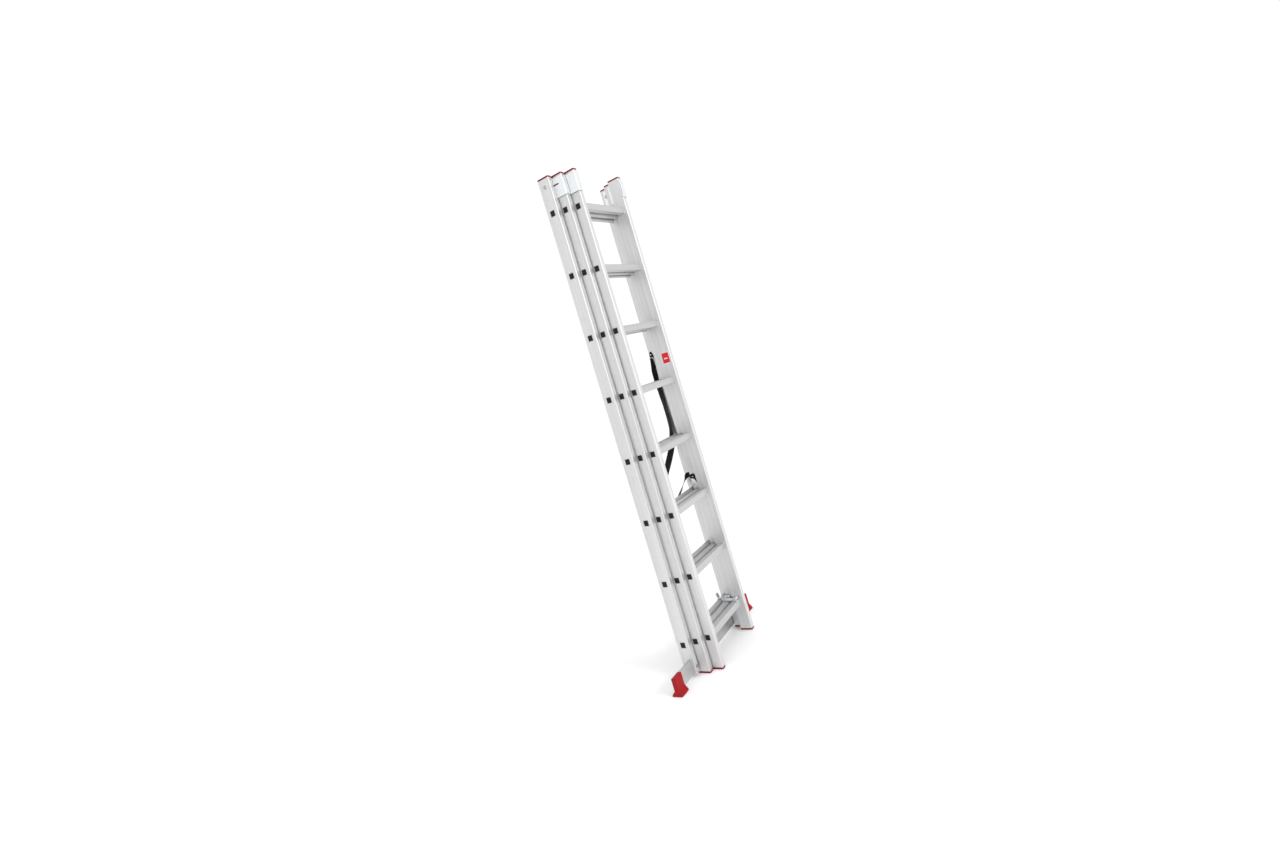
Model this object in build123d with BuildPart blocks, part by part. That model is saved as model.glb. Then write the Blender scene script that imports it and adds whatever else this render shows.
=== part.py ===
from build123d import *
from math import pi, radians, tan
import os

# Three-section aluminium ladder, closed and standing on its feet.
# Millimetres. +Z runs up the stiles, +X along the rungs, and +Y towards the back.
# Section a is the wide base section at the back, b the middle one, c the narrow front one.
# The origin is on the floor, in the middle of the ladder.

os.makedirs("parts", exist_ok=True)

# ---------------------------------------------------------------- driving dimensions
RUNG_COUNT = 8
RUNG_PITCH = 280.0
FIRST_RUNG_Z = 146.0        # height of the lowest rungs' centres
RUNG_DEPTH = 28.0           # rung size along Y
RUNG_HEIGHT = 30.0          # rung size along Z, over the tread ribs
RUNG_WALL = 2.2
RUNG_CORNER_R = 3.0
RUNG_BORE_R = 2.0
RIB_HEIGHT = 1.2
RIB_WIDTH = 3.2
RIB_COUNT = 5
RIB_MARGIN = 3.0            # outer ribs' centres to the rung's sides

LADDER_TOP_Z = 2266.0       # top of the end caps
CAP_THICKNESS = 8.0
STILE_DEPTH = 62.0          # stile size along Y
STILE_THICKNESS = 25.0      # stile size along X
STILE_WALL = 2.0
STILE_CORNER_R = 3.0
CHANNEL_DEPTH = 0.6         # shallow channel down the stile's outer face
CHANNEL_MARGIN = 9.0        # and the plain band beside it

HALF_WIDTH_C = 180.0        # centre plane to the outer face of section c's stiles
WIDTH_STEP = 31.0           # each section's stiles stand this much further out
DEPTH_STEP = 47.5           # and each section this much further back

BAR_LENGTH = 720.0
BAR_HEIGHT = 62.0
BAR_DEPTH = 17.0
BAR_WALL = 2.0
BAR_CORNER_R = 2.5
BAR_FRONT_Y = 32.0
BAR_BOTTOM_Z = 14.0

PLATE = 2.5                 # steel sheet of the guide brackets
GUIDE_LOW_Z = 2165.0
GUIDE_HIGH_Z = 2250.0
PIVOT_Z = 2222.0
PIVOT_R = 5.0

FIT = 0.1                   # gap round a piece that passes through a sheet
RUN = 0.3                   # gap between pieces that move past each other

SIDES = {"left": -1, "right": 1}
SECTIONS = {
    "a": {"half": HALF_WIDTH_C + 2 * WIDTH_STEP, "y": DEPTH_STEP, "bottom": BAR_BOTTOM_Z},
    "b": {"half": HALF_WIDTH_C + WIDTH_STEP, "y": 0.0, "bottom": CAP_THICKNESS},
    "c": {"half": HALF_WIDTH_C, "y": -DEPTH_STEP, "bottom": CAP_THICKNESS},
}
STILE_TOP_Z = LADDER_TOP_Z - CAP_THICKNESS
RUNG_LEVELS = [FIRST_RUNG_Z + level * RUNG_PITCH for level in range(RUNG_COUNT)]
PIVOT_Y = SECTIONS["a"]["y"]
BAR_CENTRE = (BAR_FRONT_Y + BAR_DEPTH / 2, BAR_BOTTOM_Z + BAR_HEIGHT / 2)


def save(build, name):
    build.part.label = name
    export_step(build.part, f"parts/{name}.step")


def inner_x(section):
    return section["half"] - STILE_THICKNESS


# ---------------------------------------------------------------- rungs and their end plugs
RUNG_INSET = 0.3            # the tube ends this far inside the stile's outer face
PLUG_CORNER_R = 5.5
PLUG_LENGTH = 12.0
PLUG_RECESS = 0.2           # the plug's face sits this far inside the tube's end


def rung_outline(section, z, gap=0.0):
    """The rung's outline with its ribs, a gap larger all round, in the open sketch."""
    rib_pitch = (RUNG_DEPTH - 2 * RIB_MARGIN) / (RIB_COUNT - 1)
    with Locations((section["y"], z - RIB_HEIGHT / 2)):
        RectangleRounded(RUNG_DEPTH + 2 * gap, RUNG_HEIGHT - RIB_HEIGHT + 2 * gap, RUNG_CORNER_R)
    with Locations((section["y"], z + RUNG_HEIGHT / 2 - RIB_HEIGHT)):
        with GridLocations(rib_pitch, 1, RIB_COUNT, 1):
            Trapezoid(RIB_WIDTH + 3 * gap, 2 * (RIB_HEIGHT + gap), 65)


def make_rung(name, section, z):
    """Square tube whose top has lengthwise ribs for grip."""
    length = 2 * (section["half"] - RUNG_INSET)
    with BuildPart() as rung:
        with BuildSketch(Plane.YZ.offset(-length / 2)):
            rung_outline(section, z)
            with Locations((section["y"], z - RIB_HEIGHT / 2)):
                RectangleRounded(RUNG_DEPTH - 2 * RUNG_WALL, RUNG_HEIGHT - RIB_HEIGHT - 2 * RUNG_WALL,
                                 RUNG_BORE_R, mode=Mode.SUBTRACT)
        extrude(amount=length)
    save(rung, name)


def make_plugs(name, section):
    """Moulded plug with rounded corners in each end of each rung."""
    with BuildPart() as plugs:
        for side in SIDES.values():
            outward = Plane(origin=(side * (section["half"] - RUNG_INSET - PLUG_RECESS), 0, 0),
                            x_dir=(0, side, 0), z_dir=(side, 0, 0))
            for z in RUNG_LEVELS:
                with BuildSketch(outward):
                    with Locations((side * section["y"], z - RIB_HEIGHT / 2)):
                        RectangleRounded(RUNG_DEPTH - 2 * RUNG_WALL - 2 * FIT,
                                         RUNG_HEIGHT - RIB_HEIGHT - 2 * RUNG_WALL - 2 * FIT,
                                         PLUG_CORNER_R)
                extrude(amount=-PLUG_LENGTH)
    save(plugs, name)


# ---------------------------------------------------------------- stiles and their caps
BOLT_R = 4.0
GUIDE_RIVETS_Z = (2180.0, 2235.0)
RIVET_R = 3.0
LID_PROUD = 0.5             # a cap's lid stands this far past the stile all round
LID_CORNER_R = 5.0
CAP_STUB = 14.0             # depth of the cap's stub in the stile


def make_stile(name, section, side, tall):
    """Hollow box section with a shallow channel down its outer face."""
    centre_x = side * (section["half"] - STILE_THICKNESS / 2)
    with BuildPart() as stile:
        with BuildSketch(Plane.XY.offset(section["bottom"])):
            with Locations((centre_x, section["y"])):
                RectangleRounded(STILE_THICKNESS, STILE_DEPTH, STILE_CORNER_R)
                RectangleRounded(STILE_THICKNESS - 2 * STILE_WALL, STILE_DEPTH - 2 * STILE_WALL, 1.2,
                                 mode=Mode.SUBTRACT)
            with Locations((side * section["half"], section["y"])):
                Rectangle(2 * CHANNEL_DEPTH, STILE_DEPTH - 2 * CHANNEL_MARGIN, mode=Mode.SUBTRACT)
        extrude(amount=tall)
        # A window through both walls for each rung.
        with BuildSketch(Plane.YZ):
            for z in RUNG_LEVELS:
                rung_outline(section, z, FIT)
        extrude(amount=side * (section["half"] + 1), mode=Mode.SUBTRACT)
        if section is SECTIONS["a"]:
            # Open notch for the stabiliser bar, its bolt's holes and the pivot's holes.
            with BuildSketch(Plane.YZ):
                with Locations((BAR_CENTRE[0], BAR_CENTRE[1])):
                    Rectangle(BAR_DEPTH + 2 * FIT, BAR_HEIGHT + 2 * FIT)
                with Locations((PIVOT_Y, PIVOT_Z)):
                    Circle(PIVOT_R + FIT / 2)
            extrude(amount=side * (section["half"] + 1), mode=Mode.SUBTRACT)
            with BuildSketch(Plane.XZ):
                with Locations((centre_x, BAR_CENTRE[1])):
                    Circle(BOLT_R + FIT / 2)
            extrude(amount=-(section["y"] + STILE_DEPTH), mode=Mode.SUBTRACT)
        if section is SECTIONS["b"]:
            # Holes in the inner wall for the rivets of the guide bracket.
            with BuildSketch(Plane.YZ.offset(side * (inner_x(section) - 1))):
                with Locations(*[(section["y"], z) for z in GUIDE_RIVETS_Z]):
                    Circle(RIVET_R + FIT / 2)
            extrude(amount=side * (STILE_WALL + 2), mode=Mode.SUBTRACT)
    save(stile, name)


def make_caps(name, section, z_low, upward):
    """Moulded caps on the two stile ends: a rounded lid and a stub inside the tube."""
    lid_base = Plane.XY.offset(z_low) if upward else Plane.XY.offset(z_low + CAP_THICKNESS)
    lid_height = CAP_THICKNESS if upward else -CAP_THICKNESS
    edge_r = 4.0 if upward else 2.0
    with BuildPart() as caps:
        for side in SIDES.values():
            centre = (side * (section["half"] - STILE_THICKNESS / 2), section["y"])
            with BuildSketch(lid_base):
                with Locations(centre):
                    RectangleRounded(STILE_THICKNESS + 2 * LID_PROUD, STILE_DEPTH + 2 * LID_PROUD,
                                     LID_CORNER_R)
            extrude(amount=lid_height)
        outer_faces = caps.faces().filter_by(Axis.Z).sort_by(Axis.Z)
        chosen = outer_faces[-2:] if upward else outer_faces[:2]
        fillet([edge for face in chosen for edge in face.edges()], radius=edge_r)
        for side in SIDES.values():
            centre = (side * (section["half"] - STILE_THICKNESS / 2), section["y"])
            with BuildSketch(lid_base):
                with Locations(centre):
                    RectangleRounded(STILE_THICKNESS - 2 * STILE_WALL - 2 * FIT,
                                     STILE_DEPTH - 2 * STILE_WALL - 2 * FIT, 1.2)
            extrude(amount=-CAP_STUB if upward else CAP_STUB)
    save(caps, name)


for letter, section in SECTIONS.items():
    for number, z in enumerate(RUNG_LEVELS, start=1):
        make_rung(f"rung_{letter}{number}", section, z)
    make_plugs(f"rung_plugs_{letter}", section)
    for side_name, side in SIDES.items():
        make_stile(f"stile_{letter}_{side_name}", section, side, STILE_TOP_Z - section["bottom"])
    make_caps(f"top_caps_{letter}", section, STILE_TOP_Z, True)
make_caps("bottom_caps_b", SECTIONS["b"], 0.0, False)
make_caps("bottom_caps_c", SECTIONS["c"], 0.0, False)

# ---------------------------------------------------------------- stabiliser bar and feet
with BuildPart() as stabiliser_bar:
    with BuildSketch(Plane.YZ.offset(-BAR_LENGTH / 2)):
        with Locations(BAR_CENTRE):
            RectangleRounded(BAR_DEPTH, BAR_HEIGHT, BAR_CORNER_R)
            RectangleRounded(BAR_DEPTH - 2 * BAR_WALL, BAR_HEIGHT - 2 * BAR_WALL,
                             BAR_CORNER_R - BAR_WALL, mode=Mode.SUBTRACT)
    extrude(amount=BAR_LENGTH)
    bolt_x = SECTIONS["a"]["half"] - STILE_THICKNESS / 2
    with BuildSketch(Plane.XZ):
        with Locations((-bolt_x, BAR_CENTRE[1]), (bolt_x, BAR_CENTRE[1])):
            Circle(BOLT_R + FIT / 2)
    extrude(amount=-(BAR_FRONT_Y + BAR_DEPTH + 1), mode=Mode.SUBTRACT)
save(stabiliser_bar, "stabiliser_bar")

BOLT_HEAD_R = 7.0
BOLT_HEAD = 4.0
with BuildPart() as stabiliser_bolts:
    stile_back = SECTIONS["a"]["y"] + STILE_DEPTH / 2
    with Locations(*[(side * bolt_x, stile_back, BAR_CENTRE[1]) for side in SIDES.values()]):
        Cylinder(BOLT_HEAD_R, BOLT_HEAD, rotation=(-90, 0, 0),
                 align=(Align.CENTER, Align.CENTER, Align.MIN))
        Cylinder(BOLT_R, STILE_DEPTH, rotation=(90, 0, 0),
                 align=(Align.CENTER, Align.CENTER, Align.MIN))
    with Locations(*[(side * bolt_x, stile_back - STILE_DEPTH, BAR_CENTRE[1])
                     for side in SIDES.values()]):
        Cylinder(BOLT_HEAD_R, BOLT_HEAD, rotation=(90, 0, 0),
                 align=(Align.CENTER, Align.CENTER, Align.MIN))
save(stabiliser_bolts, "stabiliser_bolts")

FOOT_INNER_X = 327.0        # where the sleeve starts on the bar
FOOT_OUTER_X = 386.0
SLEEVE_WALL = 2.0
SLEEVE_CORNER_R = 5.0
SLEEVE_TOP_R = 3.5
SLEEVE_LOW_Z = BAR_BOTTOM_Z + 8
FOOT_TOP_Z = BAR_BOTTOM_Z + BAR_HEIGHT + SLEEVE_WALL
TREAD_FRONT_Y = 15.0
TREAD_BACK_Y = 70.0
TREAD_TOP_Z = 7.0
TREAD_CORNER_R = 8.0
TREAD_OVERHANG = 0.5        # the sole past the sleeve's ends
TREAD_DRAFT = 2.0           # and how far its sides lean in
SOLE_GROOVES = 5
GROOVE_PITCH = 12.0
GROOVE_WIDTH = 3.0
GROOVE_DEPTH = 2.5


def make_foot(name, side):
    """Moulded foot: a sleeve over the bar's end on a flared tread with a grooved sole."""
    middle_x = side * (FOOT_INNER_X + FOOT_OUTER_X) / 2
    length = FOOT_OUTER_X - FOOT_INNER_X
    sole_length = length + 2 * TREAD_OVERHANG
    tread_y = (TREAD_FRONT_Y + TREAD_BACK_Y) / 2
    tread_depth = TREAD_BACK_Y - TREAD_FRONT_Y
    sleeve_depth = BAR_DEPTH + 2 * SLEEVE_WALL
    outlines = [
        (0.0, tread_y, sole_length, tread_depth, TREAD_CORNER_R),
        (TREAD_TOP_Z, tread_y, sole_length - TREAD_DRAFT, tread_depth - 2 * TREAD_DRAFT, TREAD_CORNER_R),
        (SLEEVE_LOW_Z, BAR_CENTRE[0], length, sleeve_depth, SLEEVE_CORNER_R),
    ]
    with BuildPart() as foot:
        for lower, upper in zip(outlines, outlines[1:]):
            for z, y, size_x, size_y, corner in (lower, upper):
                with BuildSketch(Plane.XY.offset(z)):
                    with Locations((middle_x, y)):
                        RectangleRounded(size_x, size_y, corner)
            loft()
        with BuildSketch(Plane.XY.offset(SLEEVE_LOW_Z)):
            with Locations((middle_x, BAR_CENTRE[0])):
                RectangleRounded(length, sleeve_depth, SLEEVE_CORNER_R)
        extrude(amount=FOOT_TOP_Z - SLEEVE_LOW_Z)
        fillet(foot.faces().sort_by(Axis.Z)[-1].edges(), radius=SLEEVE_TOP_R)
        # The pocket that the bar's end sits in, closed at the outer end.
        with BuildSketch(Plane.YZ.offset(side * (FOOT_INNER_X - 1))):
            with Locations(BAR_CENTRE):
                RectangleRounded(BAR_DEPTH + 2 * FIT, BAR_HEIGHT + 2 * FIT, BAR_CORNER_R)
        extrude(amount=side * (BAR_LENGTH / 2 - FOOT_INNER_X + 1 + FIT), mode=Mode.SUBTRACT)
        with Locations((middle_x, tread_y, 0)):
            with GridLocations(GROOVE_PITCH, 1, SOLE_GROOVES, 1):
                Box(GROOVE_WIDTH, TREAD_BACK_Y, 2 * GROOVE_DEPTH, mode=Mode.SUBTRACT)
    save(foot, name)


for side_name, side in SIDES.items():
    make_foot(f"foot_{side_name}", side)

# ---------------------------------------------------------------- guide brackets
LIP_GAP = 2.5               # between a stile's front face and the lip in front of it
LIP_MARGIN = 3.0            # the lip ends this far short of the stile's inner face
PLATE_BEHIND_PIVOT = 15.0   # the swinging plate's back edge, behind its pivot
FIXED_PLATE_BACK_Y = 10.0   # the riveted plate's back edge
SLOT_LENGTH = 29.0
SLOT_WIDTH = 6.0
SLOT_Z = 2220.0
SLOT_BEHIND = 4.5           # the slot's centre, behind the middle of the sliding stile
PIVOT_STANDOFF = 0.9        # a swinging bracket stands this far off the stile it hangs on
PIN_CLEARANCE = 0.08        # radial gap round a pin that something turns on
PAD_CLEARANCE = 0.6         # between a wear pad and the stile that slides past it
PAD_DEPTH = 44.0
PAD_HEIGHT = 60.0
PAD_CORNER_R = 4.0


def make_guide(name, outer, side, plate_face, back_y, pivoting):
    """Bent plate beside the stile of the section in front, with a lip round its front face.

    outer is the section whose stile slides in the bracket, and plate_face is the
    x of the plate's face on the far side from that stile.
    """
    plate_x = side * plate_face
    lip_y = outer["y"] - STILE_DEPTH / 2 - LIP_GAP
    lip_x = side * (inner_x(outer) + LIP_MARGIN)
    height = GUIDE_HIGH_Z - GUIDE_LOW_Z
    with BuildPart() as guide:
        with BuildSketch(Plane.XY.offset(GUIDE_LOW_Z)):
            with BuildLine():
                Polyline((plate_x - side * PLATE / 2, back_y),
                         (plate_x - side * PLATE / 2, lip_y - PLATE / 2),
                         (lip_x, lip_y - PLATE / 2))
                offset(amount=PLATE / 2, side=Side.BOTH, kind=Kind.INTERSECTION)
            make_face()
        extrude(amount=height)
        bends = guide.edges().filter_by(Axis.Z).sort_by(Axis.Y)[:4].sort_by(Axis.X)
        outer_bend = bends[0] if side < 0 else bends[-1]
        fillet(outer_bend, radius=PLATE)
        with BuildSketch(Plane.YZ.offset(plate_x + side)):
            if pivoting:
                with Locations((outer["y"] + SLOT_BEHIND, SLOT_Z)):
                    SlotOverall(SLOT_LENGTH, SLOT_WIDTH)
                with Locations((PIVOT_Y, PIVOT_Z)):
                    Circle(PIVOT_R + PIN_CLEARANCE)
            else:
                with Locations(*[(SECTIONS["b"]["y"], z) for z in GUIDE_RIVETS_Z]):
                    Circle(RIVET_R + FIT / 2)
        extrude(amount=-side * (PLATE + 2), mode=Mode.SUBTRACT)
    save(guide, name)


def make_pads(name, outer, plate_face):
    """Nylon wear pads between the bracket's plate and the stile that slides past."""
    thickness = plate_face - PLATE - outer["half"] - PAD_CLEARANCE
    with BuildPart() as pads:
        for side in SIDES.values():
            centre_x = side * (plate_face - PLATE - thickness / 2)
            with Locations((centre_x, outer["y"], (GUIDE_LOW_Z + GUIDE_HIGH_Z) / 2)):
                Box(thickness, PAD_DEPTH, PAD_HEIGHT)
        fillet(pads.edges().filter_by(Axis.X), radius=PAD_CORNER_R)
    save(pads, name)


FACE_A = inner_x(SECTIONS["a"]) - PIVOT_STANDOFF
FACE_B = inner_x(SECTIONS["b"])
for side_name, side in SIDES.items():
    make_guide(f"guide_a_{side_name}", SECTIONS["b"], side, FACE_A, PIVOT_Y + PLATE_BEHIND_PIVOT, True)
    make_guide(f"guide_b_{side_name}", SECTIONS["c"], side, FACE_B, FIXED_PLATE_BACK_Y, False)
make_pads("guide_pads_a", SECTIONS["b"], FACE_A)
make_pads("guide_pads_b", SECTIONS["c"], FACE_B)

# Pivots of the upper brackets: a domed head outside the stile, a flat one inside the bracket.
FORMED_HEAD = 2.5           # height of a pivot's head
OUTER_HEAD_R = PIVOT_R + 3
INNER_HEAD_R = PIVOT_R + 4
HEAD_TAPER = 25
with BuildPart() as pivot_bolts:
    inside_x = FACE_A - PLATE - RUN
    for side in SIDES.values():
        pivot = Plane(origin=(side * inside_x, PIVOT_Y, PIVOT_Z), z_dir=(side, 0, 0))
        with BuildSketch(pivot):
            Circle(PIVOT_R)
        extrude(amount=SECTIONS["a"]["half"] - inside_x)
        with BuildSketch(pivot):
            Circle(INNER_HEAD_R)
        extrude(amount=-FORMED_HEAD)
        with BuildSketch(pivot.offset(SECTIONS["a"]["half"] - inside_x)):
            Circle(OUTER_HEAD_R)
        extrude(amount=FORMED_HEAD, taper=HEAD_TAPER)
save(pivot_bolts, "pivot_bolts")

# Nylon washers that hold the swinging brackets off the stiles.
WASHER_R = 11.0
with BuildPart() as pivot_washers:
    for side in SIDES.values():
        with BuildSketch(Plane(origin=(side * inner_x(SECTIONS["a"]), PIVOT_Y, PIVOT_Z),
                               z_dir=(-side, 0, 0))):
            Circle(WASHER_R)
            Circle(PIVOT_R + FIT, mode=Mode.SUBTRACT)
        extrude(amount=PIVOT_STANDOFF - 2 * FIT)
save(pivot_washers, "pivot_washers")

RIVET_HEAD = 2.0
RIVET_HEAD_R = RIVET_R + 2.5
with BuildPart() as guide_rivets:
    for side in SIDES.values():
        for z in GUIDE_RIVETS_Z:
            rivet = Plane(origin=(side * (FACE_B - PLATE), SECTIONS["b"]["y"], z), z_dir=(side, 0, 0))
            with BuildSketch(rivet):
                Circle(RIVET_R)
            extrude(amount=PLATE + STILE_WALL)
            for head, height in ((rivet, -RIVET_HEAD), (rivet.offset(PLATE + STILE_WALL), RIVET_HEAD)):
                with BuildSketch(head):
                    Circle(RIVET_HEAD_R)
                extrude(amount=height, taper=HEAD_TAPER)
save(guide_rivets, "guide_rivets")

# ---------------------------------------------------------------- rung hooks
HOOK_X = {"b": 167.0, "c": 136.0}
HOOK_WIDTH = 22.0
HOOK_PLATE = 4.0
HOOK_PIN_R = 3.0
HOOK_EYE_R = 6.5
RUNG_TOP_Z = FIRST_RUNG_Z + RUNG_HEIGHT / 2
HOOK_OVER_RUNG = 2.0        # the hook's plate clears the rungs by this much
HOOK_PIN_Z = RUNG_TOP_Z + 9.0
HOOK_PIN_FORWARD = 4.0      # the pin's place in front of its own rung's centre
NOSE_INNER = DEPTH_STEP + RUNG_DEPTH / 2 + 1.0
NOSE_DEPTH = 12.0           # how far the nose reaches down behind the next rung
NOSE_THICKNESS = 3.5
LEVER_HEIGHT = 22.0         # the thumb lever above the plate
LEVER_LEAN = 8.0            # and how far its tip leans back
HOOK_BASE = 1.5
EAR = 2.0
EAR_GAP = 0.3
PIN_HEAD = 1.2
PIN_HEAD_R = HOOK_PIN_R + 1.5


def make_hook(name, section, x):
    """Hook that swings down over the next rung back, with a thumb lever on its end."""
    pin_y = section["y"] - HOOK_PIN_FORWARD
    nose_y = section["y"] + NOSE_INNER
    low = RUNG_TOP_Z + HOOK_OVER_RUNG
    high = low + HOOK_PLATE
    with BuildPart() as hook:
        with BuildSketch(Plane.YZ.offset(x - HOOK_WIDTH / 2)):
            with BuildLine():
                Polyline((pin_y, low), (nose_y, low),
                         (nose_y, low - NOSE_DEPTH), (nose_y + NOSE_THICKNESS, low - NOSE_DEPTH),
                         (nose_y + NOSE_THICKNESS + 1, low + 2),
                         (nose_y + LEVER_LEAN, low + LEVER_HEIGHT),
                         (nose_y + LEVER_LEAN - 3, low + LEVER_HEIGHT + 1),
                         (nose_y - 1, high + 2), (nose_y - 3, high), (pin_y, high), close=True)
            make_face()
            with Locations((pin_y, HOOK_PIN_Z)):
                Circle(HOOK_EYE_R)
                Circle(HOOK_PIN_R + PIN_CLEARANCE, mode=Mode.SUBTRACT)
        extrude(amount=HOOK_WIDTH)
    save(hook, name)


def make_hook_mounts(name, section, x):
    """Clip with two ears on the rung, and the pin through the ears, for each hook."""
    pin_y = section["y"] - HOOK_PIN_FORWARD
    ear_x = HOOK_WIDTH / 2 + EAR_GAP + EAR / 2
    base_width = 2 * ear_x + EAR
    with BuildPart() as mounts:
        for side in SIDES.values():
            with Locations((side * x, section["y"], RUNG_TOP_Z)):
                Box(base_width, RUNG_DEPTH, HOOK_BASE, align=(Align.CENTER, Align.CENTER, Align.MIN))
            for ear_side in SIDES.values():
                with BuildSketch(Plane.YZ.offset(side * x + ear_side * ear_x - EAR / 2)):
                    with Locations((pin_y, HOOK_PIN_Z)):
                        Circle(HOOK_EYE_R)
                    with Locations((pin_y, (RUNG_TOP_Z + HOOK_PIN_Z) / 2)):
                        Rectangle(2 * HOOK_EYE_R, HOOK_PIN_Z - RUNG_TOP_Z)
                extrude(amount=EAR)
            with BuildSketch(Plane.YZ.offset(side * x - base_width / 2)):
                with Locations((pin_y, HOOK_PIN_Z)):
                    Circle(HOOK_PIN_R)
            extrude(amount=base_width)
            for end in SIDES.values():
                cap = Plane(origin=(side * x + end * base_width / 2, pin_y, HOOK_PIN_Z),
                            z_dir=(end, 0, 0))
                with BuildSketch(cap):
                    Circle(PIN_HEAD_R)
                extrude(amount=PIN_HEAD)
    save(mounts, name)


for letter, x in HOOK_X.items():
    for side_name, side in SIDES.items():
        make_hook(f"hook_{letter}_{side_name}", SECTIONS[letter], side * x)
    make_hook_mounts(f"hook_mounts_{letter}", SECTIONS[letter], x)

# ---------------------------------------------------------------- spreader strap
STRAP_R = 4.0
STRAP_ROUTE = [
    (211, 67, 1390), (211, 70, 1298), (212.5, 73, 1200), (211, 72, 1100), (204, 72, 1018),
    (186, 76, 960), (150, 77, 921), (108, 78, 884), (66, 79, 846), (28, 80, 803),
    (8, 80, 753), (20, 79, 704), (60, 77, 692), (104, 76, 710), (146, 77, 732),
    (182, 75, 756), (198, 60, 780), (193, 37, 793),
]


def arc_radii(route):
    """The largest arc at each corner that leaves every run a straight tenth."""
    points = [Vector(*point) for point in route]
    radii = []
    for before, corner, after in zip(points, points[1:], points[2:]):
        arriving = corner - before
        leaving = after - corner
        turn = radians(arriving.get_angle(leaving))
        radii.append(0.45 * min(arriving.length, leaving.length) / tan(turn / 2))
    return radii


with BuildPart() as strap_webbing:
    with BuildLine() as strap_path:
        strap_radii = arc_radii(STRAP_ROUTE)
        FilletPolyline(*STRAP_ROUTE, radius=strap_radii)
    with BuildSketch(Plane(origin=strap_path.line @ 0, z_dir=strap_path.line % 0)):
        Circle(STRAP_R)
    sweep()
save(strap_webbing, "strap_webbing")
strap_length = sum(edge.length for edge in strap_path.edges())
print("strap length", round(strap_length, 1), "radii", [round(r) for r in strap_radii])
print("strap volume over section times length",
      round(strap_webbing.part.volume / (pi * STRAP_R**2 * strap_length), 4))

# Webbing tab folded against section a's stile, above the ring that the strap hangs in.
TAB_A_Z = STRAP_ROUTE[0][2]
TAB_A_Y = 64.0
TAB_A_SIZE = (22.0, 34.0)
TAB_A_THICKNESS = 3.0
RING_SIZE = (6.0, 24.0)
RING_DROP = 5.0             # the ring's centre, in from the stile's face
RING_HEIGHT = 6.0
with BuildPart() as strap_anchor_a:
    with BuildSketch(Plane.YZ.offset(inner_x(SECTIONS["a"]))):
        with Locations((TAB_A_Y, TAB_A_Z + TAB_A_SIZE[1] / 2 + RING_DROP)):
            RectangleRounded(*TAB_A_SIZE, 4)
    extrude(amount=-TAB_A_THICKNESS)
    with BuildSketch(Plane.XY.offset(TAB_A_Z)):
        with Locations((inner_x(SECTIONS["a"]) - RING_DROP, STRAP_ROUTE[0][1])):
            RectangleRounded(*RING_SIZE, 2)
    extrude(amount=RING_HEIGHT)
save(strap_anchor_a, "strap_anchor_a")

# Stitched end of the strap, flat on section b's stile.
TAB_B_CENTRE = (12.0, 776.0)
TAB_B_SIZE = (36.0, 34.0)
TAB_B_THICKNESS = 1.6
with BuildPart() as strap_anchor_b:
    with BuildSketch(Plane.YZ.offset(inner_x(SECTIONS["b"]))):
        with Locations(TAB_B_CENTRE):
            RectangleRounded(*TAB_B_SIZE, 4)
    extrude(amount=-TAB_B_THICKNESS)
save(strap_anchor_b, "strap_anchor_b")
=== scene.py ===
import math

import bmesh
import bpy
from mathutils import Matrix, Vector


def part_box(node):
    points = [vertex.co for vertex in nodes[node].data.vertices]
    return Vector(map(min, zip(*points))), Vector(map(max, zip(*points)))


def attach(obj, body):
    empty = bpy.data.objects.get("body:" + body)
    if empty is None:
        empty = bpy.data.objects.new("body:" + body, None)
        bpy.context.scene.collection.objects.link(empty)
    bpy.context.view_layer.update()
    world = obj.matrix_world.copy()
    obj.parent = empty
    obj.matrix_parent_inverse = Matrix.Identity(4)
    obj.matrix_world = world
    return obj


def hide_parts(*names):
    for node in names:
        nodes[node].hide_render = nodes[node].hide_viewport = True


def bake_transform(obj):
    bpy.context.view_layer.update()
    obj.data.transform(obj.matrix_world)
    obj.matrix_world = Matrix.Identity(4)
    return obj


# The looks of the three-section ladder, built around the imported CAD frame. Metres.
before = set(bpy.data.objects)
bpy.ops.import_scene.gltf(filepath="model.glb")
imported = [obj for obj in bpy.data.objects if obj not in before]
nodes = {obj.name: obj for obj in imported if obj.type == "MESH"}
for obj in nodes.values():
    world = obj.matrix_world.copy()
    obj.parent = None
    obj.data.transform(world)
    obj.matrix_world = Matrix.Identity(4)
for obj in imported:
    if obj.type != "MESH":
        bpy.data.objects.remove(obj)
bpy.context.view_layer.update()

MM = 0.001
SIDES = {"left": -1, "right": 1}
SECTIONS = ("a", "b", "c")
RUNG_COUNT = 8


# ---------------------------------------------------------------- camera, floor and light
CAMERA_AT = (-2.3465, -1.5637, 1.3384)
CAMERA_TURN = math.radians(31.725)      # from +X towards +Y
CAMERA_TILT = math.radians(-1.190)
CAMERA_ROLL = math.radians(16.66)
CAMERA_LENS = 17.117
CAMERA_SHIFT = (-0.0204, -0.0360)
FLOOR_HALF = 60.0
FLOOR_Z = -0.0005                       # just under the feet
FLOOR_TONE = 0.97
SURROUND_STRENGTH = 1.06
LAMP_AT = (-0.9, -4.5, 2.6)
LAMP_TOWARDS = (0.0, 0.0, 1.1)
LAMP_SIZE = 1.6
LAMP_POWER = 105


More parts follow.
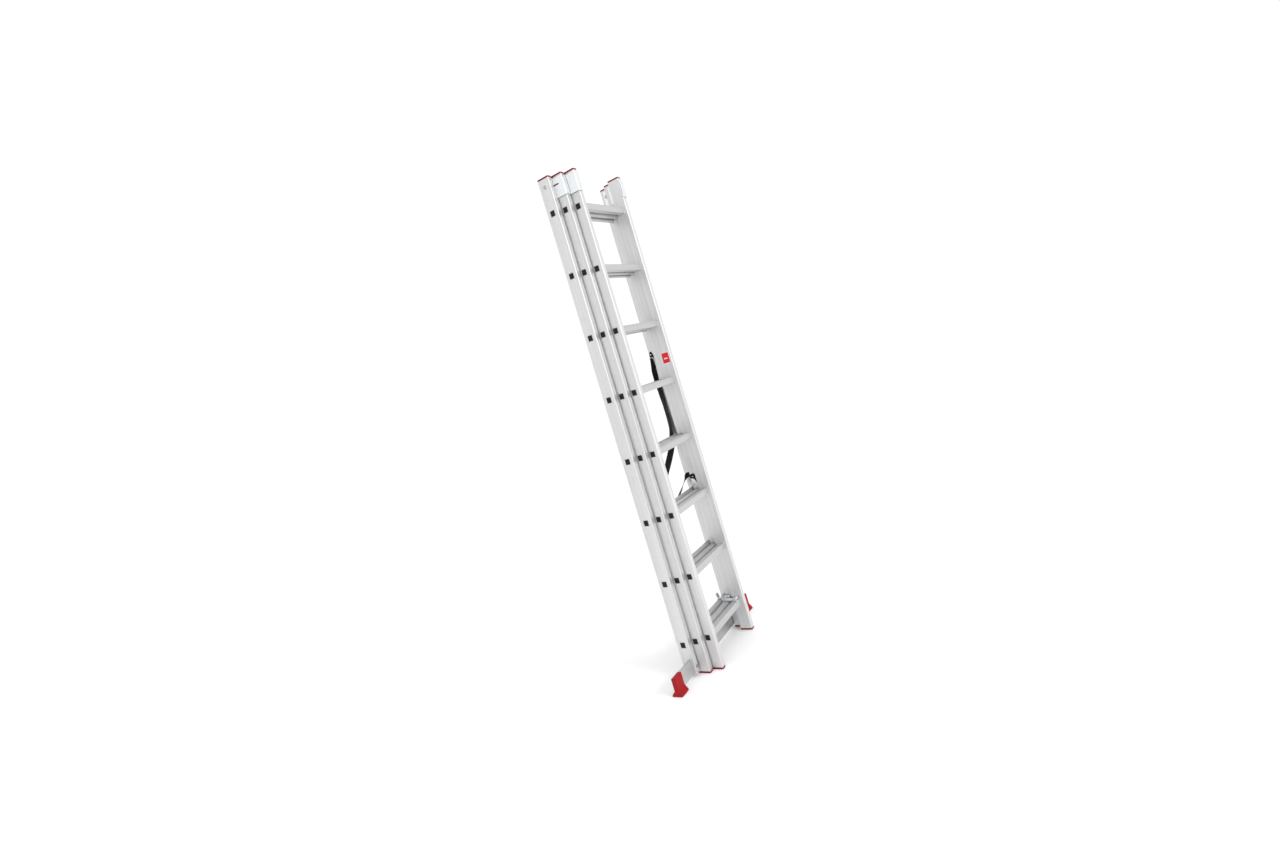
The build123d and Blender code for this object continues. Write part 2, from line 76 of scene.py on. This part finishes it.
def make_camera():
    """The camera of the photograph, rolled so that the ladder leans in the picture."""
    camera = bpy.data.objects.new("camera", bpy.data.cameras.new("camera"))
    bpy.context.scene.collection.objects.link(camera)
    camera.data.lens = CAMERA_LENS
    camera.data.sensor_width = 36.0
    camera.data.shift_x, camera.data.shift_y = CAMERA_SHIFT
    camera.data.clip_start = 0.05
    camera.data.clip_end = 100.0
    forward = Vector((math.cos(CAMERA_TURN) * math.cos(CAMERA_TILT),
                      math.sin(CAMERA_TURN) * math.cos(CAMERA_TILT), math.sin(CAMERA_TILT)))
    level = forward.cross(Vector((0, 0, 1))).normalized()
    upright = level.cross(forward)
    up = upright * math.cos(CAMERA_ROLL) + level * math.sin(CAMERA_ROLL)
    right = forward.cross(up)
    turned = Matrix((right, up, -forward)).transposed().to_4x4()
    camera.matrix_world = Matrix.Translation(CAMERA_AT) @ turned
    bpy.context.scene.camera = camera


def add_light(name, at, towards, size, power):
    """A round area lamp that shines towards a point."""
    light = bpy.data.lights.new(name, "AREA")
    light.shape = "DISK"
    light.size = size
    light.energy = power
    lamp = bpy.data.objects.new(name, light)
    bpy.context.scene.collection.objects.link(lamp)
    lamp.location = at
    lamp.rotation_mode = "QUATERNION"
    lamp.rotation_quaternion = (Vector(towards) - Vector(at)).to_track_quat("-Z", "Y")


def make_studio():
    """A wide pale floor, a white surround and one soft lamp."""
    scene = bpy.context.scene
    scene.view_settings.view_transform = "Standard"
    mesh = bpy.data.meshes.new("floor")
    half = FLOOR_HALF
    mesh.from_pydata([(-half, -half, 0), (half, -half, 0), (half, half, 0), (-half, half, 0)],
                     [], [(0, 1, 2, 3)])
    floor = bpy.data.objects.new("floor", mesh)
    scene.collection.objects.link(floor)
    floor.location.z = FLOOR_Z
    floor_material = bpy.data.materials.new("pale_floor")
    floor_material.use_nodes = True
    shader = floor_material.node_tree.nodes["Principled BSDF"]
    shader.inputs["Base Color"].default_value = (FLOOR_TONE, FLOOR_TONE, FLOOR_TONE, 1)
    shader.inputs["Roughness"].default_value = 0.9
    mesh.materials.append(floor_material)
    world = bpy.data.worlds.new("surround")
    scene.world = world
    world.use_nodes = True
    background = world.node_tree.nodes["Background"]
    background.inputs["Color"].default_value = (1, 1, 1, 1)
    background.inputs["Strength"].default_value = SURROUND_STRENGTH
    add_light("key", LAMP_AT, LAMP_TOWARDS, LAMP_SIZE, LAMP_POWER)


# ---------------------------------------------------------------- materials
class Surface:
    """A node-based material: plain numbers on its shader, and textures added by methods."""

    def __init__(self, name, roughness, metallic=0.0, **plain):
        self.material = bpy.data.materials.new(name)
        self.material.use_nodes = True
        self.tree = self.material.node_tree
        self.shader = self.tree.nodes["Principled BSDF"]
        self.shader.inputs["Metallic"].default_value = metallic
        self.shader.inputs["Roughness"].default_value = roughness
        for socket, value in plain.items():
            self.shader.inputs[socket.replace("_", " ")].default_value = value
        self.height = None

    def node(self, kind, **values):
        made = self.tree.nodes.new(kind)
        for key, value in values.items():
            setattr(made, key, value)
        return made

    def link(self, source, target):
        self.tree.links.new(source, target)

    def place(self, scale, source="Object"):
        """The surface's own coordinates, with a scale along each axis."""
        where = self.node("ShaderNodeTexCoord")
        mapping = self.node("ShaderNodeMapping")
        mapping.inputs["Scale"].default_value = scale
        self.link(where.outputs[source], mapping.inputs["Vector"])
        return mapping.outputs["Vector"]

    def noise(self, scale, detail=3.0, roughness=0.5, source="Object"):
        """Noise that repeats about scale times in a metre along each axis."""
        texture = self.node("ShaderNodeTexNoise")
        texture.inputs["Scale"].default_value = 1.0
        texture.inputs["Detail"].default_value = detail
        texture.inputs["Roughness"].default_value = roughness
        self.link(self.place(scale, source), texture.inputs["Vector"])
        return texture.outputs["Fac"]

    def remap(self, value, low, high, to_low, to_high):
        """value between low and high becomes a value between to_low and to_high."""
        spread = self.node("ShaderNodeMapRange")
        spread.inputs["From Min"].default_value = low
        spread.inputs["From Max"].default_value = high
        spread.inputs["To Min"].default_value = to_low
        spread.inputs["To Max"].default_value = to_high
        self.link(value, spread.inputs["Value"])
        return spread.outputs["Result"]

    def math(self, operation, first, second):
        made = self.node("ShaderNodeMath", operation=operation)
        for socket, value in zip(made.inputs, (first, second)):
            if isinstance(value, (int, float)):
                socket.default_value = value
            else:
                self.link(value, socket)
        return made.outputs["Value"]

    def colours(self, value, *stops):
        """A colour for each value, from stops of (position, colour)."""
        ramp = self.node("ShaderNodeValToRGB")
        elements = ramp.color_ramp.elements
        while len(elements) < len(stops):
            elements.new(0.5)
        for element, (position, colour) in zip(elements, stops):
            element.position = position
            element.color = (*colour, 1)
        self.link(value, ramp.inputs["Fac"])
        return ramp.outputs["Color"]

    def mix(self, share, first, second):
        """first where share is 0 and second where it is 1. Each is a socket or a colour."""
        made = self.node("ShaderNodeMix", data_type="RGBA")
        self.link(share, made.inputs[0])
        for socket, value in ((made.inputs[6], first), (made.inputs[7], second)):
            if isinstance(value, tuple):
                socket.default_value = (*value, 1)
            else:
                self.link(value, socket)
        return made.outputs[2]

    def base(self, colour):
        self.link(colour, self.shader.inputs["Base Color"])

    def rough(self, value):
        self.link(value, self.shader.inputs["Roughness"])

    def bump(self, height, depth, strength=1.0):
        """A relief of the given depth in metres, on top of any relief before it."""
        made = self.node("ShaderNodeBump")
        made.inputs["Strength"].default_value = strength
        made.inputs["Distance"].default_value = depth
        self.link(height, made.inputs["Height"])
        if self.height is not None:
            self.link(self.height, made.inputs["Normal"])
        self.height = made.outputs["Normal"]
        self.link(self.height, self.shader.inputs["Normal"])


def along_axis(axis, fine, coarse):
    """Scales of a texture whose marks run along one axis."""
    return tuple(coarse if letter == axis else fine for letter in "XYZ")


def aluminium(name, axis, shade=1.0):
    """Extruded aluminium: satin, with die lines along it and faint handling marks across. A shade below 1
    darkens the whole copy as painted shade.
    """
    surface = Surface(name, 0.4, metallic=0.8)
    lines = surface.noise(along_axis(axis, 900, 3), detail=4, roughness=0.7)
    bands = surface.noise(along_axis(axis, 70, 0.8), detail=2)
    marks = surface.noise((34, 34, 34), detail=6, roughness=0.65)
    tone = surface.math("ADD", surface.math("MULTIPLY", lines, 0.45),
                        surface.math("MULTIPLY", bands, 0.55))
    # shade scales both tones: below 1 it paints shade into a darker copy of the same metal
    dull, bright = 0.61 * shade, 0.74 * shade
    metal = surface.colours(tone, (0.3, (dull, dull, dull * 1.01)), (0.7, (bright, bright, bright)))
    oxide = surface.remap(marks, 0.55, 0.8, 0.0, 0.5)
    surface.base(surface.mix(oxide, metal, (0.58 * shade, 0.58 * shade, 0.575 * shade)))
    base_rough = surface.remap(lines, 0.25, 0.75, 0.38, 0.52)
    surface.rough(surface.math("ADD", base_rough, surface.math("MULTIPLY", oxide, 0.16)))
    surface.bump(lines, 0.00012, 0.35)
    return surface.material


def zinc(name, shade=1.0):
    """Zinc-plated steel, with the soft spangle of its plating."""
    surface = Surface(name, 0.34, metallic=1.0)
    cells = surface.node("ShaderNodeTexVoronoi")
    cells.inputs["Scale"].default_value = 1.0
    surface.link(surface.place((260, 260, 260)), cells.inputs["Vector"])
    cloud = surface.noise((45, 45, 45), detail=5, roughness=0.6)
    tone = surface.math("ADD", surface.math("MULTIPLY", cells.outputs["Distance"], 0.35),
                        surface.math("MULTIPLY", cloud, 0.65))
    cool = [tuple(shade * channel for channel in colour)
            for colour in ((0.78, 0.80, 0.815), (0.82, 0.84, 0.855), (0.86, 0.88, 0.89))]
    surface.base(surface.colours(tone, (0.25, cool[0]), (0.5, cool[1]), (0.75, cool[2])))
    surface.rough(surface.remap(tone, 0.2, 0.8, 0.24, 0.44))
    surface.bump(cloud, 0.00015, 0.3)
    return surface.material


def moulded(name, dark, light, roughness, grain_depth):
    """Injection-moulded plastic: two close tones, fine grain and paler rubbed patches."""
    surface = Surface(name, roughness, Specular_IOR_Level=0.2)
    cloud = surface.noise((60, 60, 60), detail=4, roughness=0.6)
    grain = surface.noise((1800, 1800, 1800), detail=2)
    rubbed = surface.remap(surface.noise((150, 150, 150), detail=8, roughness=0.7), 0.60, 0.74, 0, 0.35)
    tone = surface.colours(cloud, (0.3, dark), (0.7, light))
    paler = tuple(min(1.0, 0.008 + channel * 1.2) for channel in light)
    surface.base(surface.mix(rubbed, tone, paler))
    surface.rough(surface.math("ADD", surface.remap(grain, 0.3, 0.7, roughness - 0.06, roughness + 0.08),
                               surface.math("MULTIPLY", rubbed, 0.3)))
    surface.bump(grain, grain_depth, 0.6)
    return surface.material


def webbing(name):
    """Woven polyester webbing. The UV map is in metres: U across the strap, V along it."""
    surface = Surface(name, 0.8, Sheen_Weight=0.06, Sheen_Roughness=0.4, Specular_IOR_Level=0.2)
    parts = surface.node("ShaderNodeSeparateXYZ")
    surface.link(surface.place((1, 1, 1), "UV"), parts.inputs["Vector"])
    across, along = parts.outputs["X"], parts.outputs["Y"]
    warp = surface.math("SINE", surface.math("MULTIPLY", across, 2 * math.pi / 0.0017), 0)
    chevron = surface.math("PINGPONG", across, 0.0051)
    rows = surface.math("ADD", along, chevron)
    weft = surface.math("SINE", surface.math("MULTIPLY", rows, 2 * math.pi / 0.0024), 0)
    weave = surface.math("MULTIPLY", surface.math("ADD", warp, 1.2), surface.math("ADD", weft, 1.2))
    fuzz = surface.noise((2500, 2500, 2500), detail=2)
    fade = surface.noise((30, 30, 12), detail=3)
    tone = surface.math("ADD", surface.remap(weave, 0, 4.8, 0, 0.6), surface.math("MULTIPLY", fade, 0.4))
    surface.base(surface.colours(tone, (0.15, (0.002, 0.002, 0.0025)), (0.8, (0.014, 0.014, 0.016))))
    surface.rough(surface.remap(weave, 0, 4.8, 0.92, 0.62))
    surface.bump(weave, 0.0004, 0.8)
    surface.bump(fuzz, 0.0001, 0.4)
    return surface.material


MATERIALS = {
    "stile": aluminium("extruded_aluminium_upright", "Z"),
    # Painted shade: the rungs, stabiliser bar and collars take the stiles' aluminium darkened to 0.78 of its
    # tone
    "rung": aluminium("extruded_aluminium_across_painted_shade", "X", 0.78),
    "zinc": zinc("zinc_plated_steel"),
    "bolt": zinc("dull_zinc_plated_steel", 0.5),
    "red": moulded("crimson_moulded_plastic", (0.24, 0.002, 0.005), (0.36, 0.003, 0.008), 0.46, 0.00012),
    "cap": moulded("deep_crimson_moulded_plastic", (0.15, 0.001, 0.004), (0.23, 0.002, 0.007), 0.46, 0.00012),
    "black": moulded("black_moulded_plastic", (0.004, 0.0045, 0.005), (0.010, 0.0105, 0.0115), 0.42, 0.00008),
    "nylon": moulded("grey_nylon", (0.25, 0.25, 0.24), (0.36, 0.36, 0.35), 0.5, 0.00006),
    "webbing": webbing("black_woven_webbing"),
    "thread": moulded("black_thread", (0.02, 0.02, 0.022), (0.045, 0.045, 0.05), 0.75, 0.0001),
    "print": moulded("red_printed_film", (0.60, 0.015, 0.03), (0.68, 0.025, 0.04), 0.35, 0.00002),
    "film": moulded("white_printed_film", (0.78, 0.78, 0.77), (0.85, 0.85, 0.84), 0.3, 0.00002),
}

NODE_MATERIALS = (
    ("stile_", "stile"), ("rung_plugs", "black"), ("rung_", "rung"), ("stabiliser_bar", "rung"),
    ("stabiliser_bolts", "bolt"), ("foot_", "red"), ("top_caps", "cap"), ("bottom_caps", "cap"),
    ("guide_pads", "black"), ("guide_", "zinc"), ("pivot_bolts", "bolt"), ("pivot_washers", "nylon"),
    ("hook_", "zinc"), ("strap_", "webbing"),
)


def paint_nodes():
    """Every CAD node takes the first material whose prefix its name has."""
    for name, node in nodes.items():
        key = next(key for prefix, key in NODE_MATERIALS if name.startswith(prefix))
        node.data.materials.clear()
        node.data.materials.append(MATERIALS[key])
        for face in node.data.polygons:
            face.material_index = 0


# ---------------------------------------------------------------- mesh helpers
def make_piece(name, mesh_builder, material, body, smooth=True):
    """A mesh object from a bmesh, with its material, riding on a body."""
    mesh = bpy.data.meshes.new(name)
    mesh_builder.to_mesh(mesh)
    mesh_builder.free()
    piece = bpy.data.objects.new(name, mesh)
    bpy.context.scene.collection.objects.link(piece)
    mesh.materials.append(MATERIALS[material])
    if smooth:
        for face in mesh.polygons:
            face.use_smooth = True
    if body:
        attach(piece, body)
    return piece


# ---------------------------------------------------------------- spreader strap
# In millimetres. The points of the strap's CAD tube, but the one before the last is 1 mm off, and the
# last one is added, to take the strap down to its bracket.
STRAP_ROUTE = [
    (211, 67, 1390), (211, 70, 1298), (212.5, 73, 1200), (211, 72, 1100), (204, 72, 1018),
    (186, 76, 960), (150, 77, 921), (108, 78, 884), (66, 79, 846), (28, 80, 803),
    (8, 80, 753), (20, 79, 704), (60, 77, 692), (104, 76, 710), (146, 77, 732),
    (182, 75, 756), (198, 60, 780), (194, 37, 794), (188.5, 16, 783),
]
STRAP_WIDTH = 30 * MM
STRAP_THICKNESS = 1.6 * MM
STRAP_RING_PITCH = 4 * MM
# The direction that the strap's width lies in, at shares of its length from its upper end.
STRAP_TWIST = [
    (0.00, (-0.2, 1.0, 0.0)), (0.03, (-0.54, 0.84, 0.0)), (0.11, (-0.54, 0.84, 0.0)),
    (0.17, (0.2, 0.95, 0.0)), (0.24, (0.5, 0.87, 0.0)), (0.34, (0.55, 0.83, 0.0)),
    (0.45, (-0.4, 0.85, 0.35)), (0.52, (-0.4, 0.8, 0.45)), (0.62, (0.0, 1.0, 0.0)),
    (0.76, (0.0, 1.0, -0.1)), (0.86, (0.15, 0.85, -0.5)), (0.92, (0.4, 0.62, -0.62)),
    (0.97, (0.4, 0.4, -0.8)), (1.00, (0.0, 0.44, -0.86)),
]
# The strap gathers where it passes through the ring: its width at shares of its length.
STRAP_GATHER = [(0.0, 0.5), (0.02, 0.62), (0.06, 1.0), (1.0, 1.0)]


def spline_points(name, route):
    """Points along the smooth NURBS line that has the route as its control points."""
    data = bpy.data.curves.new(name, "CURVE")
    data.dimensions = "3D"
    data.resolution_u = 24
    spline = data.splines.new("NURBS")
    spline.points.add(len(route) - 1)
    for point, (x, y, z) in zip(spline.points, route):
        point.co = (x * MM, y * MM, z * MM, 1)
    spline.order_u = 3
    spline.use_endpoint_u = True
    curve = bpy.data.objects.new(name, data)
    bpy.context.scene.collection.objects.link(curve)
    bpy.context.view_layer.update()
    line = bpy.data.meshes.new_from_object(curve)
    points = [vertex.co.copy() for vertex in line.vertices]
    bpy.data.objects.remove(curve)
    return points


def evenly(points, pitch):
    """Points a pitch apart along a line, with its two ends."""
    lengths = [0.0]
    for first, second in zip(points, points[1:]):
        lengths.append(lengths[-1] + (second - first).length)
    count = round(lengths[-1] / pitch)
    found, run = [], 0
    for step in range(count + 1):
        reach = lengths[-1] * step / count
        while run < len(points) - 2 and lengths[run + 1] < reach:
            run += 1
        share = (reach - lengths[run]) / (lengths[run + 1] - lengths[run])
        found.append(points[run].lerp(points[run + 1], share))
    return found, lengths[-1]


def width_at(twist, share):
    """The width's direction at a share of the length, between its neighbours in the list."""
    for (before, first), (after, second) in zip(twist, twist[1:]):
        if share <= after:
            blend = (share - before) / (after - before)
            blend = blend * blend * (3 - 2 * blend)
            return Vector(first).lerp(Vector(second), blend)
    return Vector(twist[-1][1])


def gather_at(gather, share):
    """The share of its full width that the strap has at a share of its length."""
    for (before, first), (after, second) in zip(gather, gather[1:]):
        if share <= after:
            return first + (second - first) * (share - before) / (after - before)
    return gather[-1][1]


def strap_frame(points, index, twist, share):
    """The width's direction and the flat side's direction at one of the points."""
    last = len(points) - 1
    tangent = (points[min(index + 1, last)] - points[max(index - 1, 0)]).normalized()
    across = width_at(twist, share)
    across = (across - tangent * across.dot(tangent)).normalized()
    return across, tangent.cross(across)


def ribbon(points, frames, widths, thickness):
    """A flat woven strap along points: a slightly crowned section with round selvedges."""
    thin = thickness / 2
    outline = [(-1, 0), (-0.96, 0.8 * thin), (-0.6, thin), (0, thin),
               (0.6, thin), (0.96, 0.8 * thin), (1, 0)]
    outline += [(u, -v) for u, v in reversed(outline[1:-1])]
    made = bmesh.new()
    uv = made.loops.layers.uv.new("strap")
    rings, runs, length = [], [], 0.0
    last = len(points) - 1
    for index, (point, (across, normal)) in enumerate(zip(points, frames)):
        half = widths[index] / 2
        rings.append([made.verts.new(point + across * u * half + normal * v) for u, v in outline])
        runs.append(length)
        if index < last:
            length += (points[index + 1] - point).length
    count = len(outline)
    for index in range(last):
        for corner in range(count):
            after = (corner + 1) % count
            face = made.faces.new((rings[index][corner], rings[index][after],
                                   rings[index + 1][after], rings[index + 1][corner]))
            corners = ((corner, index), (corner + 1 if after == 0 else after, index),
                       (corner + 1 if after == 0 else after, index + 1), (corner, index + 1))
            for loop, (place, ring) in zip(face.loops, corners):
                loop[uv].uv = (outline[place % count][0] * widths[ring] / 2, runs[ring])
    made.faces.new(list(reversed(rings[0])))
    made.faces.new(rings[-1])
    return made


RING_Z = 1391.8 * MM
RING_WIRE_R = 1.3 * MM
HEM_RINGS = 10              # the hem's legs run this many ring pitches down the strap
HEM_WIDTH_SHARE = 0.94      # of the strap's own width
HEM_TURN_STEPS = 8


def make_hem(points, frames, widths):
    """Webbing that loops over the steel ring and is sewn to both sides of the strap's end."""
    gap = STRAP_THICKNESS + 0.25 * MM
    legs, leg_frames, leg_widths = [], [], []
    for index in range(HEM_RINGS, -1, -1):
        across, normal = frames[index]
        legs.append(points[index] + normal * gap)
        leg_frames.append((across, normal))
        leg_widths.append(widths[index] * HEM_WIDTH_SHARE)
    across, normal = frames[0]
    upward = (points[0] - points[1]).normalized()
    for step in range(1, HEM_TURN_STEPS):
        turn = math.pi * step / HEM_TURN_STEPS
        outward = normal * math.cos(turn) + upward * math.sin(turn)
        legs.append(points[0] + upward * 1.8 * MM + normal * gap * math.cos(turn)
                    + upward * 2.2 * MM * math.sin(turn))
        leg_frames.append((across, outward))
        leg_widths.append(widths[0] * HEM_WIDTH_SHARE)
    for index in range(0, HEM_RINGS + 1):
        across, normal = frames[index]
        legs.append(points[index] - normal * gap)
        leg_frames.append((across, -normal))
        leg_widths.append(widths[index] * HEM_WIDTH_SHARE)
    return make_piece("strap_hem_upper", ribbon(legs, leg_frames, leg_widths, STRAP_THICKNESS),
                      "webbing", "section_a")


STITCH_PITCH = 3.2 * MM


def make_stitches(name, lines, face_normal, body, pitch=STITCH_PITCH):
    """Rows of short raised thread stitches along straight lines on a face."""
    made = bmesh.new()
    for start, end in lines:
        start, end = Vector(start), Vector(end)
        along = (end - start).normalized()
        side = along.cross(face_normal).normalized()
        count = max(1, int((end - start).length / pitch))
        for step in range(count):
            middle = start + along * pitch * (step + 0.5)
            ring = []
            for reach, lift, half in ((-0.42, 0.0, 0.12), (-0.25, 0.28, 0.26), (0.25, 0.28, 0.26),
                                      (0.42, 0.0, 0.12)):
                for sign in (-1, 1):
                    ring.append(made.verts.new(middle + along * pitch * reach
                                               + face_normal * (lift + 0.05) * MM + side * sign * half * MM))
            for first in range(0, 6, 2):
                made.faces.new((ring[first], ring[first + 1], ring[first + 3], ring[first + 2]))
    return make_piece(name, made, "thread", body)


def make_prism(outline, plane_x, thickness, bevel):
    """A plate with the given (y, z) outline in millimetres, from plane_x towards -X, with soft edges."""
    made = bmesh.new()
    back = [made.verts.new((plane_x, y * MM, z * MM)) for y, z in outline]
    front = [made.verts.new((plane_x - thickness, y * MM, z * MM)) for y, z in outline]
    made.faces.new(back)
    made.faces.new(list(reversed(front)))
    for index in range(len(outline)):
        after = (index + 1) % len(outline)
        made.faces.new((back[after], back[index], front[index], front[after]))
    bmesh.ops.recalc_face_normals(made, faces=made.faces[:])
    rim = [edge for edge in made.edges if all(vertex in front for vertex in edge.verts)]
    bmesh.ops.bevel(made, geom=rim, offset=bevel, segments=3, profile=0.6, affect="EDGES")
    return made


def rounded(corners, radius, steps=4):
    """The outline of a polygon in (y, z) with its corners rounded."""
    found = []
    count = len(corners)
    for index, corner in enumerate(corners):
        corner = Vector(corner)
        before = (Vector(corners[index - 1]) - corner)
        after = (Vector(corners[(index + 1) % count]) - corner)
        cut = min(radius, 0.45 * before.length, 0.45 * after.length)
        first, last = corner + before.normalized() * cut, corner + after.normalized() * cut
        for step in range(steps + 1):
            share = step / steps
            found.append(tuple(first * (1 - share) ** 2 + corner * 2 * share * (1 - share)
                               + last * share ** 2))
    return found


def make_dome(made, centre, outward, radius, height, rings=5, sides=20):
    """Adds a domed rivet head to a bmesh."""
    first = outward.orthogonal().normalized()
    second = outward.cross(first)
    rows = []
    for step in range(rings):
        turn = 0.5 * math.pi * step / rings
        row = []
        for side in range(sides):
            angle = 2 * math.pi * side / sides
            flat = first * math.cos(angle) + second * math.sin(angle)
            row.append(made.verts.new(centre + flat * radius * math.cos(turn)
                                      + outward * height * math.sin(turn)))
        rows.append(row)
    for low_row, high_row in zip(rows, rows[1:]):
        for side in range(sides):
            after = (side + 1) % sides
            made.faces.new((low_row[side], low_row[after], high_row[after], high_row[side]))
    made.faces.new(rows[-1])


RING_SIDES = 12


def make_wire_ring(name, centre, size_y, size_z, corner, wire, body):
    """A rounded steel ring in the plane of the stile's face."""
    half_y, half_z = size_y / 2, size_z / 2
    corners = [(-half_y, -half_z), (half_y, -half_z), (half_y, half_z), (-half_y, half_z)]
    line = [Vector((0, y, z)) for y, z in rounded(corners, corner, 6)]
    made = bmesh.new()
    rows = []
    for index, point in enumerate(line):
        tangent = (line[(index + 1) % len(line)] - line[index - 1]).normalized()
        side = Vector((1, 0, 0)).cross(tangent)
        rows.append([made.verts.new(Vector(centre) + point
                                    + (Vector((1, 0, 0)) * math.cos(turn) + side * math.sin(turn)) * wire)
                     for turn in (2 * math.pi * step / RING_SIDES for step in range(RING_SIDES))])
    for index, row in enumerate(rows):
        following = rows[(index + 1) % len(rows)]
        for step in range(RING_SIDES):
            after = (step + 1) % RING_SIDES
            made.faces.new((row[step], row[after], following[after], following[step]))
    bmesh.ops.recalc_face_normals(made, faces=made.faces[:])
    return make_piece(name, made, "zinc", body)


TAB_THICKNESS = 3.2 * MM
BRACKET_THICKNESS = 1.5 * MM
FOLD_THICKNESS = 3.0 * MM
FOLD_LIFT = 4.5 * MM        # from the stile to the fold's front, over the bracket
RIVET_R = 3.4 * MM
RIVET_HEIGHT = 1.6 * MM


def make_strap_ends():
    """Riveted webbing tab and ring on section a, and the strap's folded end on section b."""
    face_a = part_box("stile_a_right")[0][0]
    face_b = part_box("stile_b_right")[0][0]
    tab = rounded([(60, 1389), (74, 1389), (76, 1404), (69, 1427), (60, 1427), (53, 1404)], 4)
    tab_a = make_piece("strap_tab_a", make_prism(tab, face_a, TAB_THICKNESS, 1.0 * MM), "webbing",
                       "section_a", smooth=False)
    ring = make_wire_ring("strap_ring", (211 * MM, 67 * MM, RING_Z + 3 * MM), 20 * MM, 6 * MM, 3 * MM,
                          RING_WIRE_R, "section_a")
    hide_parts("strap_anchor_a")
    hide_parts("strap_anchor_a")
    fold = rounded([(31, 773), (28, 790), (15, 794), (3, 790), (-4, 768), (-7, 749), (1, 747), (9, 766)], 4)
    make_piece("strap_fold_b", make_prism(fold, face_b - BRACKET_THICKNESS, FOLD_THICKNESS, 1.0 * MM),
               "webbing", "upper_guides", smooth=False)
    plate = rounded([(29, 712), (29, 786), (-2, 786), (-6, 752), (4, 712)], 5)
    bracket = make_piece("strap_bracket_b", make_prism(plate, face_b, BRACKET_THICKNESS, 0.4 * MM), "zinc",
                         "section_b", smooth=False)
    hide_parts("strap_anchor_b")
    for name, body, places in (
            ("strap_rivet_a", "section_a", [(face_a - TAB_THICKNESS, 65 * MM, 1412 * MM)]),
            ("strap_rivet_b", "upper_guides", [(face_b - FOLD_LIFT, 14 * MM, 779 * MM)]),
            ("strap_bracket_rivets", "section_b", [(face_b - BRACKET_THICKNESS, 17 * MM, 725 * MM),
                                                   (face_b - BRACKET_THICKNESS, 17 * MM, 742 * MM)])):
        heads = bmesh.new()
        for place in places:
            make_dome(heads, Vector(place), Vector((-1, 0, 0)), RIVET_R, RIVET_HEIGHT)
        make_piece(name, heads, "zinc", body)
    front = Vector((-1, 0, 0))
    lines = [((face_a - TAB_THICKNESS, y * MM, 1395 * MM), (face_a - TAB_THICKNESS, y * MM, 1405 * MM))
             for y in (60, 63, 66, 69, 72)]
    make_stitches("strap_stitches_a", lines, front, "section_a")
    lines = [((face_b - FOLD_LIFT, y * MM, (z + 1) * MM), (face_b - FOLD_LIFT, (y - 5) * MM, (z - 9) * MM))
             for y, z in ((26, 786), (22, 789), (5, 775), (2, 769))]
    make_stitches("strap_stitches_b", lines, front, "upper_guides")


# ---------------------------------------------------------------- rung collars
COLLAR_WIRE = 1.1 * MM
COLLAR_CORNER_R = 3.5 * MM
COLLAR_SIDES = 8


def make_collars(section):
    """The bead swaged round each rung where it meets the inner faces of the two stiles."""
    made = bmesh.new()
    for number in range(1, RUNG_COUNT + 1):
        low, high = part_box(f"rung_{section}{number}")
        middle_y, middle_z = (low[1] + high[1]) / 2, (low[2] + high[2]) / 2
        half_y, half_z = (high[1] - low[1]) / 2, (high[2] - low[2]) / 2
        outline = rounded([(-half_y, -half_z), (half_y, -half_z), (half_y, half_z), (-half_y, half_z)],
                          COLLAR_CORNER_R)
        for side_name, side in SIDES.items():
            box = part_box(f"stile_{section}_{side_name}")
            face = box[0][0] if side > 0 else box[1][0]
            rows = []
            for index, (y, z) in enumerate(outline):
                after, before = outline[(index + 1) % len(outline)], outline[index - 1]
                away = Vector((0, after[1] - before[1], before[0] - after[0])).normalized()
                rows.append([made.verts.new(Vector((face, middle_y + y, middle_z + z))
                                            + (Vector((-side, 0, 0)) * math.cos(turn) * 1.3
                                               + away * math.sin(turn)) * COLLAR_WIRE)
                             for turn in (2 * math.pi * step / COLLAR_SIDES
                                          for step in range(COLLAR_SIDES))])
            for index, row in enumerate(rows):
                following = rows[(index + 1) % len(rows)]
                for step in range(COLLAR_SIDES):
                    after = (step + 1) % COLLAR_SIDES
                    made.faces.new((row[step], row[after], following[after], following[step]))
    bmesh.ops.recalc_face_normals(made, faces=made.faces[:])
    make_piece(f"rung_collars_{section}", made, "rung", f"section_{section}")


# ---------------------------------------------------------------- small print
STICKER_LOW = (-70.5, 1348.0)           # lowest (y, z) corner on section c's right stile
STICKER_SIZE = (43.0, 54.0)


def make_sticker():
    """A plain printed film: a red panel with a white border and a white band."""
    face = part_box("stile_c_right")[0][0]
    layers = (("sticker_film", "film", 0.0, 0.0, 1.0, 0.10), ("sticker_panel", "print", 2.2, 0.0, 1.0, 0.16),
              ("sticker_band", "film", 11.0, 0.40, 0.50, 0.22))
    for name, material, inset, low, high, lift in layers:
        y0, y1 = STICKER_LOW[0] + inset, STICKER_LOW[0] + STICKER_SIZE[0] - inset
        z0 = STICKER_LOW[1] + (inset if low == 0 else STICKER_SIZE[1] * low)
        z1 = STICKER_LOW[1] + (STICKER_SIZE[1] - inset if high == 1 else STICKER_SIZE[1] * high)
        outline = rounded([(y0, z0), (y1, z0), (y1, z1), (y0, z1)], 3)
        make_piece(name, make_prism(outline, face, lift * MM, 0.03 * MM), material, "section_c",
                   smooth=False)


def make_strap():
    """The spreader strap with its hem, from section a's ring to section b's bracket."""
    points, length = evenly(spline_points("strap_line", STRAP_ROUTE), STRAP_RING_PITCH)
    last = len(points) - 1
    frames = [strap_frame(points, index, STRAP_TWIST, index / last) for index in range(last + 1)]
    widths = [STRAP_WIDTH * gather_at(STRAP_GATHER, index / last) for index in range(last + 1)]
    make_hem(points, frames, widths)
    strap = make_piece("spreader_strap", ribbon(points, frames, widths, STRAP_THICKNESS),
                       "webbing", None)
    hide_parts("strap_webbing")
    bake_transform(strap)


make_camera()
make_studio()
paint_nodes()
make_strap()
make_strap_ends()
make_sticker()
for section in SECTIONS:
    make_collars(section)
